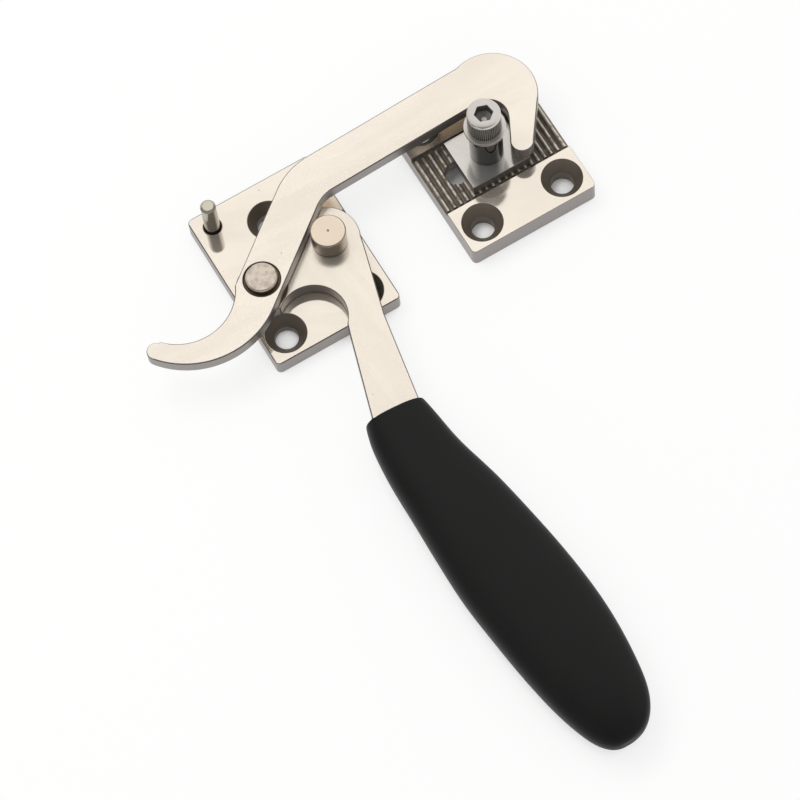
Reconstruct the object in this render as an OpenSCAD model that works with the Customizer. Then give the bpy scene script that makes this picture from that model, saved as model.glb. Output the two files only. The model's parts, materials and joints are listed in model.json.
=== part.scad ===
// Enclosure handle lock: a lever turns on a headed pin in the base plate and
// carries a crank pin. The crank pin pulls a flat hook arm, and the hook closes
// round a sleeve that is bolted to a serrated keeper plate.
// The origin is the lever's pivot axis on the mounting plane, +Z is out of the
// door, +X points from the base plate to the keeper, the handle points to -Y.

/* [Base plate] */
// Thickness of the base plate
base_thickness = 8; // [6:0.5:12]
// Width of the base plate, along X
base_width = 53.5; // [52:0.5:60]
// Height of the base plate, along Y
base_height = 70; // [68:1:80]
// Distance from the pivot axis to the plate's edge on the keeper side
base_side = 12.5; // [12:0.5:16]
// Distance from the pivot axis to the plate's lower edge
base_drop = 31; // [30:0.5:34]
// Radius of the plates' corners
corner_radius = 2; // [0.5:0.5:4]
// Distance of the lower left screw hole from the plate's side
base_hole_side = 9.25; // [9:0.25:11]
// Distance of the lower right screw hole from the plate's side
base_hole_right = 11; // [9:0.25:11.5]
// Distance of the two lower screw holes from the lower edge
base_hole_drop = 10; // [9:0.5:11]
// Distance of the upper screw hole from the upper edge
base_hole_top = 16; // [14:0.5:18]

/* [Screw holes] */
// Diameter of the through holes
hole_diameter = 9; // [8.4:0.1:9]
// Diameter of the countersinks at the surface
sink_diameter = 16; // [15:0.5:17]
// Depth of the countersinks
sink_depth = 4.5; // [3.5:0.25:6]

/* [Pins] */
// Diameter of the pivot pin's shank
pivot_diameter = 10; // [8:0.5:11]
// Diameter of the pivot pin's head
pivot_head_diameter = 13.5; // [12.5:0.5:14]
// Height of the pivot pin's head
pivot_head_height = 9.2; // [8:0.2:10]
// Diameter of the flanged collar under the lever
spacer_diameter = 20; // [16:1:24]
// Diameter of the stop pin
stop_diameter = 6; // [5:0.5:7]
// Distance of the stop pin from the plate's left edge
stop_side = 7.5; // [7:0.5:9]
// Distance of the stop pin from the plate's upper edge
stop_top = 7; // [6.5:0.5:9]
// Height of the stop pin above the base plate
stop_height = 18; // [15:0.5:20]
// Distance from the pivot axis to the crank pin
crank_throw = 30.7; // [30:0.1:31]
// Angle of the crank pin below the line through the pivot axis
crank_angle = 6; // [5:0.5:7]
// Diameter of the crank pin
crank_pin_diameter = 12; // [11:0.5:12]
// Outer diameter of the crank pin's bush
bush_diameter = 14; // [13.5:0.25:14]
// Diameter of the bush's flange
bush_flange_diameter = 19; // [17:0.5:20]
// Height of the crank pin above the hook arm
crank_pin_proud = 2.2; // [1:0.1:3]

/* [Clearances] */
// Gap between the base plate and the lever
lever_gap = 1; // [0.6:0.1:1.5]
// Gap between the lever and the hook arm
arm_gap = 1; // [0.6:0.1:1.5]
// Radial running clearance of the pins and the bush
running_clearance = 0.05; // [0.03:0.01:0.1]
// Gap between parts that are clamped or set in place
seat_clearance = 0.02; // [0.01:0.01:0.05]
// Side play of flat faces that turn on each other
face_play = 0.1; // [0.05:0.01:0.2]

/* [Lever] */
// Thickness of the lever plate
lever_thickness = 6; // [5:0.5:7]
// Radius of the lever's boss round the pivot
boss_radius = 14; // [13:0.25:14.5]
// Shift of the boss centre towards the crank pin
boss_shift_x = -1.7; // [-2:0.1:0]
// Shift of the boss centre upwards
boss_shift_y = 1.6; // [0:0.1:2]
// Radius of the lever's lobe round the crank pin
lobe_radius = 10.5; // [10:0.25:11]
// Radius of the notch below the lobe
notch_radius = 13; // [12:0.25:13.5]
// Centre of the notch, to the left of the pivot
notch_x = -20.8; // [-21.5:0.1:-20]
// Centre of the notch, below the pivot
notch_y = -23.8; // [-24.5:0.1:-23]
// Width of the tang inside the grip
tang_width = 14; // [10:1:16]
// Length of the tang inside the grip
tang_length = 90; // [60:5:110]
// Centre of the tang, to the left of the pivot
tang_x = -13.2; // [-14:0.2:-12]

/* [Grip] */
// Where the grip starts, below the pivot
grip_start = -71.5; // [-72:0.5:-70]
// Length of the grip
grip_length = 154; // [150:1:160]
// Thickness of the grip at its fullest
grip_thickness = 21; // [16:0.5:23]
// Roundness of the grip's section, 2 is an ellipse
grip_squareness = 2.7; // [2:0.1:4]

/* [Hook arm] */
// Thickness of the hook arm
arm_thickness = 6; // [5:0.5:7]
// Width of the hook arm
arm_width = 17; // [16:0.25:17.25]
// Angle of the arm's leg to the row's X axis
leg_angle = 38.5; // [37:0.5:40]
// Angle of the straight bar to the row's X axis
bar_angle = 1.8; // [0:0.1:2.5]
// Distance of the bar's centre line from the crank pin
bar_offset = 25.5; // [25:0.1:26]
// Radius of the bend's centre line
bend_radius = 20; // [14:0.5:22]
// Radius of the hook's outer turn
hook_radius = 17.5; // [17.2:0.1:17.8]
// Centre of the hook's outer turn, from the crank pin along the bar
hook_x = 112.9; // [112:0.1:114]
// Centre of the hook's outer turn, from the crank pin across the bar
hook_y = 17.3; // [17:0.1:17.6]
// Radius of the hook's mouth
mouth_radius = 7.5; // [7:0.1:8]
// Centre of the hook's mouth, from the crank pin along the bar
mouth_x = 106.5; // [106:0.1:107]
// Radius of the hook's finger tip
tip_radius = 4.4; // [4:0.1:4.5]
// Centre of the finger tip, from the crank pin along the bar
tip_x = 111.7; // [111.7:0.1:112.5]
// Centre of the finger tip, from the crank pin across the bar
tip_y = -5.6; // [-6:0.1:-5]
// Radius of the tail's lower edge
tail_radius = 34; // [33:0.5:35]
// Distance from the crank pin to where the tail starts to turn
tail_start = 9.7; // [9:0.1:10.5]
// Radius of the tail's hollow that meets the stop pin
hollow_radius = 20.8; // [20:0.2:21.5]
// Centre of the hollow, to the left of the pivot
hollow_x = -59.4; // [-60:0.1:-59]
// Centre of the hollow, above the pivot
hollow_y = 8.3; // [8:0.1:9]
// Radius of the tail's end
tail_tip_radius = 3.4; // [3:0.1:3.6]

/* [Keeper plate] */
// Thickness of the keeper plate
keeper_thickness = 10; // [9:0.5:12]
// Width of the keeper plate, along X
keeper_width = 54; // [52:1:56]
// Height of the keeper plate, along Y
keeper_height = 66; // [64:1:70]
// Centre of the keeper plate, from the pivot along X
keeper_x = 71.2; // [71:0.1:71.6]
// Centre of the keeper plate, from the pivot along Y
keeper_y = 2; // [1.5:0.5:3]
// Screw hole spacing along X
keeper_pitch_x = 35; // [34:0.5:36]
// Screw hole spacing along Y
keeper_pitch_y = 47; // [46:0.5:48]
// Width of the milled channel
channel_width = 27; // [26:0.5:28]
// Depth from the plate's surface to the serration tips
channel_depth = 1; // [0.5:0.25:1.5]
// Number of serrations across the plate
ridge_count = 19; // [15:2:21]
// Depth of the serrations
ridge_depth = 1.2; // [0.8:0.1:1.4]
// Flat on each tip, as a share of the pitch
ridge_flat = 0.16; // [0.1:0.02:0.24]
// Width of the relief groove beside each channel wall
relief_width = 1.2; // [0.8:0.1:1.6]
// Width of the slot for the striker's bolt
slot_width = 9; // [8.6:0.1:9.5]
// Length of the slot, over its round ends
slot_length = 39; // [30:1:40]
// Width of the recess for the slot nut
recess_width = 15; // [14:0.5:17]
// Depth of the recess for the slot nut
recess_depth = 4; // [3.5:0.25:4.5]

/* [Striker] */
// Shift of the striker from the middle of the serrations, along X
striker_shift = -1.4; // [-1.5:0.1:0]
// Width of the block, along X
block_width = 25; // [22:0.5:26]
// Depth of the block, along Y
block_depth = 22.4; // [20:0.2:24]
// Height of the block above the serration tips
block_height = 4.6; // [4:0.2:6]
// Outer diameter of the sleeve
sleeve_diameter = 13; // [12:0.1:13]
// Height of the sleeve
sleeve_height = 18.6; // [16:0.2:24]
// Nominal diameter of the bolt
bolt_diameter = 8; // [8]
// Length of the bolt under its head
bolt_length = 33; // [33]
// Height of the bolt's head
bolt_head_height = 10.4; // [8:0.2:11]
// Diameter of the bolt's head
bolt_head_diameter = 13; // [13]
// Width across flats of the socket
socket_flats = 6; // [6]
// Depth of the socket
socket_depth = 4; // [3:0.5:4.5]
// Outer diameter of the washer
washer_diameter = 16; // [15:0.5:17]
// Thickness of the washer
washer_thickness = 1.8; // [1:0.1:2]
// Hole of the washer and of the sleeve
washer_hole = 8.4; // [8.4:0.1:9]
// Height of the slot nut's collar inside the slot
nut_collar = 2.6; // [2:0.1:3]
// Length of the slot nut, along the slot
nut_length = 20; // [16:1:24]

/* [Hidden] */
$fn = 96;
eps = 0.5;
// Where an arc runs into a straight edge, it stands this much proud or short
tuck = 0.03;

// Heights of the stack on the base plate
lever_z = base_thickness + lever_gap;
lever_top = lever_z + lever_thickness;
arm_z = lever_top + arm_gap;
arm_top = arm_z + arm_thickness;

// Places on the base plate
base_left = base_side - base_width;
base_top = base_height - base_drop;
base_holes = [
    [base_left + base_hole_side, base_hole_drop - base_drop],
    [base_side - base_hole_right, base_hole_drop - base_drop],
    [base_side - base_width / 2, base_top - base_hole_top]];
stop_at = [base_left + stop_side, base_top - stop_top];
crank_at = [-crank_throw * cos(crank_angle), -crank_throw * sin(crank_angle)];

// Lever outline, and how far the tang runs back into its stem
boss_at = [boss_shift_x, boss_shift_y];
tang_root = 1;

// Hook arm outline
leg = [cos(leg_angle), sin(leg_angle)];
side = [-sin(leg_angle), cos(leg_angle)];
turn_angle = leg_angle - bar_angle;
leg_end = (bar_offset - bend_radius * (1 - cos(turn_angle)))
    / sin(turn_angle);
bend_at = crank_at + leg_end * leg - bend_radius * side;
bar_start = (bend_at - crank_at) * turn(bar_angle);
bar_low = bar_offset - arm_width / 2;
hook_at = on_bar(hook_x, hook_y);
mouth_at = on_bar(mouth_x, bar_low - mouth_radius);
tip_at = on_bar(tip_x, tip_y);
tail_at = crank_at - tail_start * leg + (tail_radius - arm_width / 2) * side;
tail_tip_angle = 217;
tail_tip_at = tail_at + (tail_radius - tail_tip_radius) * turn(tail_tip_angle);

// Inner face of the finger: it touches the mouth and the tip from both sides
face_angle = heading(tip_at - mouth_at)
    - asin((mouth_radius + tip_radius) / norm(tip_at - mouth_at));
face_normal = turn(face_angle + 90);
// Outer face of the finger, tangent to the outer turn and the tip
outer_angle = heading(tip_at - hook_at)
    + acos((hook_radius - tip_radius) / norm(tip_at - hook_at));

// Keeper and striker
keeper_at = [keeper_x, keeper_y];
pitch = keeper_width / ridge_count;
tips_z = keeper_thickness - channel_depth;
striker_at = [keeper_x + striker_shift, keeper_y];
block_top = tips_z + block_height;
sleeve_top = block_top + sleeve_height;
head_z = sleeve_top + washer_thickness;
nut_clearance = 0.3;

// Grip sections: distance along the grip, left side, right side, thickness,
// and how far the right side lags behind the left one
grip_rows = [[0, -26.1, -2.3, 0.74, 1.8], [3, -27.1, -1.8, 0.78, 1.2],
    [10, -28.7, -0.9, 0.83, 0.6], [24, -30, 0.9, 0.9, 0],
    [42, -30.3, 5.3, 0.97, 0], [60, -30.7, 8.5, 1, 0],
    [78, -30.6, 11.2, 1, 0], [96, -28.9, 12.9, 0.98, 0],
    [112, -27, 13.1, 0.95, 0], [128, -24.3, 11.7, 0.88, 0],
    [140, -21.1, 9.4, 0.76, 0], [148, -17.8, 5.4, 0.6, 0],
    [152.5, -14, 0.3, 0.42, 0], [154, -10.6, -4.6, 0.24, 0]];
rows_length = grip_rows[len(grip_rows) - 1][0];
stem = [[12.2, 0], [9.4, -11], [2.4, -36.5], [-4, grip_front(-4)],
    [-23, grip_front(-23)], [-12.7, -37], [-8.3, -23.8]];
grip_sides = 28;
grip_steps = 3;

// Y of the grip's front face at x
function grip_front(x) = let (r = grip_rows[0])
    grip_start - r[4] * (x - r[1]) / (r[2] - r[1]);

// Point at x along the bar and y across it, from the crank pin
function on_bar(x, y) = crank_at + x * turn(bar_angle)
    + y * turn(bar_angle + 90);

// Unit vector at an angle, and the angle of a vector
function turn(a) = [cos(a), sin(a)];
function heading(v) = atan2(v[1], v[0]);

// Smooth curve through a list of rows
function spline(p, q, r, s, t) = 0.5 * (2 * q + (r - p) * t
    + (2 * p - 5 * q + 4 * r - s) * t * t
    + (3 * q - p - 3 * r + s) * t * t * t);
function row(rows, i) = rows[max(0, min(len(rows) - 1, i))];
function smooth(rows, steps) = [for (i = [0 : len(rows) - 2])
    for (k = [0 : steps - 1]) spline(row(rows, i - 1), row(rows, i),
        row(rows, i + 1), row(rows, i + 2), k / steps), rows[len(rows) - 1]];

// One rounded section of the grip
function power(v, n) = sign(v) * pow(abs(v), 2 / n);
function grip_ring(r) = [for (k = [0 : grip_sides - 1])
    let (a = 360 * k / grip_sides)
    [(r[1] + r[2]) / 2 + (r[2] - r[1]) / 2 * power(cos(a), grip_squareness),
        grip_start - r[0] * grip_length / rows_length
            - r[4] * (1 + power(cos(a), grip_squareness)) / 2,
        r[3] * grip_thickness / 2 * power(sin(a), grip_squareness)]];

// Plate outline with round corners
module rounded(size, r) {
    translate([r, 0])
        square([size[0] - 2 * r, size[1]]);
    translate([0, r])
        square([size[0], size[1] - 2 * r]);
    for (x = [r, size[0] - r], y = [r, size[1] - r])
        translate([x, y])
            circle(r);
}

// Countersunk screw hole through a plate of thickness t
module screw_hole(t) {
    translate([0, 0, -eps])
        cylinder(h = t + 2 * eps, d = hole_diameter);
    translate([0, 0, t - sink_depth])
        cylinder(h = sink_depth, d1 = hole_diameter, d2 = sink_diameter);
    translate([0, 0, t])
        cylinder(h = eps, d = sink_diameter);
}

// Round pin or head with a chamfer at its upper edge
module chamfered(h, d, c) {
    rotate_extrude()
        polygon([[0, 0], [d / 2, 0], [d / 2, h - c], [d / 2 - c, h], [0, h]]);
}

// Ring with a bore
module ring(h, d, bore) {
    difference() {
        cylinder(h = h, d = d);
        translate([0, 0, -eps])
            cylinder(h = h + 2 * eps, d = bore);
    }
}

module base_plate() {
    color("gainsboro")
    difference() {
        translate([base_left, -base_drop])
            linear_extrude(base_thickness)
                rounded([base_width, base_height], corner_radius);
        for (p = base_holes)
            translate(p)
                screw_hole(base_thickness);
        translate([0, 0, -eps])
            cylinder(h = base_thickness + 2 * eps,
                d = pivot_diameter + 2 * seat_clearance);
        translate([stop_at[0], stop_at[1], -eps])
            cylinder(h = base_thickness + 2 * eps,
                d = stop_diameter + 2 * seat_clearance);
        translate([stop_at[0], stop_at[1], base_thickness - 0.6])
            cylinder(h = 0.6, d1 = stop_diameter, d2 = stop_diameter + 1.3);
    }
}

module pivot_pin() {
    color("silver") {
        cylinder(h = lever_top + face_play, d = pivot_diameter);
        difference() {
            translate([0, 0, lever_top + face_play])
                chamfered(pivot_head_height, pivot_head_diameter, 0.4);
            translate([0, 0, lever_top + face_play + pivot_head_height - 0.4])
                cylinder(h = 0.5, d1 = 0, d2 = 1.2);
        }
    }
}

module pivot_spacer() {
    color("darkgray")
    translate([0, 0, base_thickness])
        ring(lever_gap - face_play, spacer_diameter,
            pivot_diameter + 2 * seat_clearance);
}

module stop_pin() {
    color("silver")
    translate([stop_at[0], stop_at[1], 0.5])
        chamfered(base_thickness - 0.5 + stop_height, stop_diameter, 0.9);
}

// Lever outline without the tang
module lever_outline() {
    difference() {
        union() {
            translate(crank_at)
                circle(lobe_radius);
            translate(boss_at)
                circle(boss_radius);
            lobe_bridge();
            polygon(concat([[crank_at[0], crank_at[1]], boss_at], stem,
                [[crank_at[0], crank_at[1] - lobe_radius]]));
        }
        translate([notch_x, notch_y])
            circle(notch_radius);
    }
}

// Straight upper edge from the lobe to the boss
module lobe_bridge() {
    d = norm(boss_at - crank_at);
    a = heading(boss_at - crank_at) + acos((lobe_radius - boss_radius) / d);
    polygon([crank_at, crank_at + (lobe_radius - tuck) * turn(a),
        boss_at + (boss_radius - tuck) * turn(a), boss_at]);
}

// Tang of the lever inside the grip, or its pocket when grown by g
module tang(g) {
    translate([tang_x - tang_width / 2 - g, grip_start - tang_length - g,
        lever_z - g])
        cube([tang_width + 2 * g, tang_length + tang_root + g,
            lever_thickness + 2 * g]);
}

module handle_lever() {
    color("whitesmoke")
    difference() {
        union() {
            translate([0, 0, lever_z])
                linear_extrude(lever_thickness)
                    lever_outline();
            tang(0);
        }
        translate([0, 0, lever_z - eps])
            cylinder(h = lever_thickness + 2 * eps,
                d = pivot_diameter + 2 * running_clearance);
        translate([crank_at[0], crank_at[1], lever_z - eps])
            cylinder(h = lever_thickness + 2 * eps,
                d = crank_pin_diameter + 2 * seat_clearance);
    }
}

module handle_grip() {
    rows = smooth(grip_rows, grip_steps);
    rings = [for (r = rows) grip_ring(r)];
    n = grip_sides;
    m = len(rings);
    color("#232425")
    difference() {
        translate([0, 0, lever_z + lever_thickness / 2])
            polyhedron([for (g = rings) for (p = g) p], concat(
                [[for (k = [n - 1 : -1 : 0]) k]],
                [for (i = [0 : m - 2]) for (k = [0 : n - 1])
                    [i * n + k, i * n + (k + 1) % n,
                        (i + 1) * n + (k + 1) % n, (i + 1) * n + k]],
                [[for (k = [0 : n - 1]) (m - 1) * n + k]]));
        tang(seat_clearance);
    }
}

module crank_pin() {
    color("silver")
    translate([crank_at[0], crank_at[1], lever_z])
        chamfered(arm_top + crank_pin_proud - lever_z, crank_pin_diameter, 0.5);
}

module crank_bush() {
    color("darkgoldenrod")
    translate([crank_at[0], crank_at[1], 0]) {
        translate([0, 0, lever_top + face_play])
            ring(arm_gap - 2 * face_play, bush_flange_diameter,
                crank_pin_diameter + 2 * running_clearance);
        translate([0, 0, lever_top + face_play])
            ring(arm_gap + arm_thickness - 0.8, bush_diameter,
                crank_pin_diameter + 2 * running_clearance);
    }
}

// Ring sector of the arm's bend
module bend() {
    reach = 2 * bend_radius + arm_width;
    translate(bend_at)
    intersection() {
        difference() {
            circle(bend_radius + arm_width / 2 + tuck);
            circle(bend_radius - arm_width / 2 - tuck);
        }
        polygon([[0, 0], reach * turn(90 + bar_angle),
            reach * turn(90 + (leg_angle + bar_angle) / 2),
            reach * turn(90 + leg_angle)]);
    }
}

// Tail beyond the crank pin, round its lower edge
module tail() {
    from = leg_angle - 90;
    reach = 2 * tail_radius;
    intersection() {
        translate(tail_at)
            circle(tail_radius + tuck);
        translate(tail_at)
            polygon([[0, 0], reach * turn(tail_tip_angle),
                reach * turn((tail_tip_angle - 360 + from) / 2),
                reach * turn(from)]);
    }
}

// Flat slab of the hook arm, e thicker on both sides
module slab(e = 0) {
    translate([0, 0, arm_z - e])
        linear_extrude(arm_thickness + 2 * e)
            children();
}

module hook_arm() {
    face_top = mouth_at + (mouth_radius - tuck) * face_normal;
    face_end = tip_at - (tip_radius - tuck) * face_normal;
    lap = 0.3;
    far = 25;
    color("whitesmoke") {
        difference() {
            union() {
                slab()
                    translate(crank_at)
                        rotate(bar_angle)
                            translate([bar_start - lap, bar_low])
                                square([hook_x - bar_start + lap, arm_width]);
                slab()
                    bend();
                slab()
                    translate(crank_at)
                        rotate(leg_angle)
                            translate([-tail_start - lap, -arm_width / 2])
                                square([tail_start + leg_end + 2 * lap,
                                    arm_width]);
                slab()
                    tail();
                slab()
                    translate(tail_tip_at)
                        circle(tail_tip_radius);
                slab()
                    translate(hook_at)
                        circle(hook_radius);
                slab()
                    polygon([hook_at,
                        hook_at + (hook_radius - tuck) * turn(outer_angle),
                        tip_at + (tip_radius - tuck) * turn(outer_angle),
                        tip_at, face_end, face_top]);
            }
            slab(eps)
                translate(mouth_at)
                    circle(mouth_radius);
            slab(eps)
                polygon([on_bar(mouth_x - far, bar_low + tuck),
                    on_bar(mouth_x, bar_low + tuck), mouth_at, face_top,
                    face_end, face_end - far * turn(bar_angle)]);
            slab(eps)
                translate([hollow_x, hollow_y])
                    circle(hollow_radius);
            slab(eps)
                translate(crank_at)
                    circle(d = bush_diameter + 2 * running_clearance);
        }
        slab()
            translate(tip_at)
                circle(tip_radius);
    }
}

// Serrated band, n ridges wide and w deep, tips at z = 0 and body below
module serrated(n, w, body) {
    flat = ridge_flat * pitch;
    points = concat([[-n * pitch / 2, -body]],
        [for (i = [0 : n - 1]) let (x = (i - (n - 1) / 2) * pitch)
            each [[x - pitch / 2, -ridge_depth],
                [x - (pitch - flat) / 2, -ridge_depth],
                [x - flat / 2, 0], [x + flat / 2, 0],
                [x + (pitch - flat) / 2, -ridge_depth],
                [x + pitch / 2, -ridge_depth]]],
        [[n * pitch / 2, -body]]);
    tidy = [for (i = [0 : len(points) - 1])
        if (i == 0 || norm(points[i] - points[i - 1]) > 0.001) points[i]];
    translate([0, w / 2, 0])
        rotate([90, 0, 0])
            linear_extrude(w)
                polygon(tidy);
}

// Slot outline with round ends
module slot(l, w) {
    square([l - w, w], center = true);
    for (s = [-1, 1])
        translate([s * (l - w) / 2, 0])
            circle(d = w);
}

module keeper_plate() {
    floor_z = tips_z - ridge_depth;
    color("gainsboro")
    difference() {
        union() {
            difference() {
                translate([keeper_x - keeper_width / 2,
                    keeper_y - keeper_height / 2])
                    linear_extrude(keeper_thickness)
                        rounded([keeper_width, keeper_height], corner_radius);
                translate([keeper_x - keeper_width / 2 - eps,
                    keeper_y - channel_width / 2, floor_z])
                    cube([keeper_width + 2 * eps, channel_width, 2 * tips_z]);
            }
            translate([keeper_x, keeper_y, tips_z])
                serrated(ridge_count, channel_width - 2 * relief_width, 3);
        }
        for (x = [-1, 1], y = [-1, 1])
            translate([keeper_x + x * keeper_pitch_x / 2,
                keeper_y + y * keeper_pitch_y / 2])
                screw_hole(keeper_thickness);
        translate([keeper_x, keeper_y, -eps])
            linear_extrude(keeper_thickness + 2 * eps)
                slot(slot_length, slot_width);
        translate([keeper_x, keeper_y, -eps])
            linear_extrude(recess_depth + eps)
                slot(slot_length + recess_width - slot_width, recess_width);
    }
}

module striker_block() {
    color("whitesmoke")
    difference() {
        translate([striker_at[0] - block_width / 2,
            striker_at[1] - block_depth / 2, tips_z - ridge_depth])
            cube([block_width, block_depth, block_height + ridge_depth]);
        translate([keeper_x, keeper_y, tips_z + seat_clearance])
            serrated(ridge_count, block_depth + 2 * eps, 3);
        translate([striker_at[0], striker_at[1], tips_z - ridge_depth - eps])
            cylinder(h = ridge_depth + block_height + 2 * eps, d = washer_hole);
    }
}

module striker_sleeve() {
    color("silver")
    translate([striker_at[0], striker_at[1], block_top])
        ring(sleeve_height, sleeve_diameter, washer_hole);
}

module striker_washer() {
    color("silver")
    translate([striker_at[0], striker_at[1], sleeve_top])
        ring(washer_thickness, washer_diameter, washer_hole);
}

module striker_bolt() {
    color("darkgray")
    translate([striker_at[0], striker_at[1], head_z]) {
        translate([0, 0, -bolt_length])
            cylinder(h = bolt_length, d = bolt_diameter);
        difference() {
            chamfered(bolt_head_height, bolt_head_diameter, 0.6);
            translate([0, 0, bolt_head_height - socket_depth])
                cylinder(h = socket_depth + eps,
                    d = socket_flats / cos(30), $fn = 6);
        }
    }
}

module slot_nut() {
    play = 2 * nut_clearance;
    color("dimgray")
    translate([striker_at[0], striker_at[1], 0])
    difference() {
        union() {
            translate([-nut_length / 2, -(recess_width - play) / 2,
                nut_clearance])
                cube([nut_length, recess_width - play,
                    recess_depth - nut_clearance]);
            translate([-nut_length / 4, -(slot_width - play) / 2,
                nut_clearance])
                cube([nut_length / 2, slot_width - play,
                    recess_depth - nut_clearance + nut_collar]);
        }
        translate([0, 0, -eps])
            cylinder(h = keeper_thickness,
                d = bolt_diameter + 2 * seat_clearance);
    }
}

base_plate();
pivot_pin();
pivot_spacer();
stop_pin();
handle_lever();
handle_grip();
crank_pin();
crank_bush();
hook_arm();
keeper_plate();
striker_block();
striker_sleeve();
striker_washer();
striker_bolt();
slot_nut();
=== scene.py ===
"""Finishes the enclosure handle lock and sets up its studio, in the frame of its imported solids."""

import json
import math

import bmesh
import bpy
from bpy.props import FloatProperty, FloatVectorProperty, IntProperty, PointerProperty
from mathutils import Matrix, Vector


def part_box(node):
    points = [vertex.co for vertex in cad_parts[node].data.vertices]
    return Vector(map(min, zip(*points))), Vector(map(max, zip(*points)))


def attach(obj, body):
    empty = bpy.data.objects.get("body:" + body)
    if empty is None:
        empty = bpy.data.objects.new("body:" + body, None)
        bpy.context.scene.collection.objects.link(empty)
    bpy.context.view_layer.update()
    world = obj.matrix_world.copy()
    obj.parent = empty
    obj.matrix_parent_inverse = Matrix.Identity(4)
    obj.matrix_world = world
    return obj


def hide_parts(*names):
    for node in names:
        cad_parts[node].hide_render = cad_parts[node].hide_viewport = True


bl_info = {
    "name": "Enclosure handle lock",
    "version": (1, 0, 0),
    "blender": (4, 5, 0),
    "location": "3D View > Sidebar > Handle lock",
    "description": "Finishes the pieces of a lever lock and sets up its studio",
    "category": "Object",
}

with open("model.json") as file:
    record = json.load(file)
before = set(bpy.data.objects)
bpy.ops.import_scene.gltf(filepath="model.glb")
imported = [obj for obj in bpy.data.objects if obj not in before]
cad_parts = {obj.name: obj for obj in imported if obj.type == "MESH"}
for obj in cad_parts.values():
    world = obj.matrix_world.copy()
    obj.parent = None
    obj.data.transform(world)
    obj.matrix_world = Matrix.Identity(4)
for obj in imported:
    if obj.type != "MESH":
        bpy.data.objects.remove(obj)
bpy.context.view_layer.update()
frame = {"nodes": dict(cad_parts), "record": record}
MM = 0.001
# Hand polished steel still scatters a little light
METAL = 0.86
# Radius of the plates' countersinks, a hair wider than they are cut
SINK_RADIUS = 8.02 * MM
# Half the width of the keeper's serrated channel
CHANNEL_HALF = 13.5 * MM
# Depth of the serration tips under the keeper's top
TIP_DEPTH = 1.0 * MM
# Half the width of the screw's socket across its flats, its depth and its turn
SOCKET_HALF = 3.15 * MM
SOCKET_DEPTH = 4.0 * MM
SOCKET_TURN = math.radians(20)
# Radius that holds the socket's corners, and radius of the screw's head
SOCKET_REACH = 3.9 * MM
HEAD_RADIUS = 6.5 * MM
# Real height of one unit of relief in the steel
RELIEF = 0.004 * MM
# Turn of the tool rings' wave for each metre from the axis, in radians
RING_WAVE = 16000.0
# Edges sharper than this are broken and shaded crisp
EDGE_ANGLE = math.radians(30)


def middle(node):
    """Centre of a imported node's box."""
    low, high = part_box(node)
    return (Vector(low) + Vector(high)) / 2


def top(node):
    """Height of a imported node's top."""
    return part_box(node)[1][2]


def record_mount(name):
    """One of the record's mounts."""
    return next(m for m in frame["record"]["mounts"] if m["name"] == name)


def screw_holes(name):
    """Places of the holes in one of the record's screw patterns."""
    entry = record_mount(name)
    x, y = entry["pos_m"][:2]
    dims = entry["dims"]
    step_x = dims["spacing_x_mm"] * MM / 2
    step_y = dims.get("spacing_y_mm", 0.0) * MM / 2
    rows = (-step_y, step_y) if step_y else (0.0,)
    return [(x + dx, y + dy) for dx in (-step_x, step_x) for dy in rows]


class HandleLockSizes(bpy.types.PropertyGroup):
    """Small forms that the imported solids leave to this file"""

    edge_break: FloatProperty(
        name="Plate edge break",
        description="Width of the ground edge on plates and bars",
        default=0.4 * MM, min=0.1 * MM, max=1.0 * MM, precision=5, unit="LENGTH")
    fine_break: FloatProperty(
        name="Fine edge break",
        description="Width of the edge break on pins, serrations and the striker",
        default=0.15 * MM, min=0.05 * MM, max=0.4 * MM, precision=5, unit="LENGTH")
    knurl_count: IntProperty(
        name="Knurl ridges", description="Upright ridges round the screw's head",
        default=52, min=30, max=80)
    knurl_depth: FloatProperty(
        name="Knurl depth", description="Depth of the ridges round the screw's head",
        default=0.36 * MM, min=0.05 * MM, max=0.4 * MM, precision=5, unit="LENGTH")
    grip_nose: FloatProperty(
        name="Grip nose round",
        description="Rounding of the grip's edge where the lever enters it",
        default=0.7 * MM, min=0.3 * MM, max=3.0 * MM, precision=5, unit="LENGTH")


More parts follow.
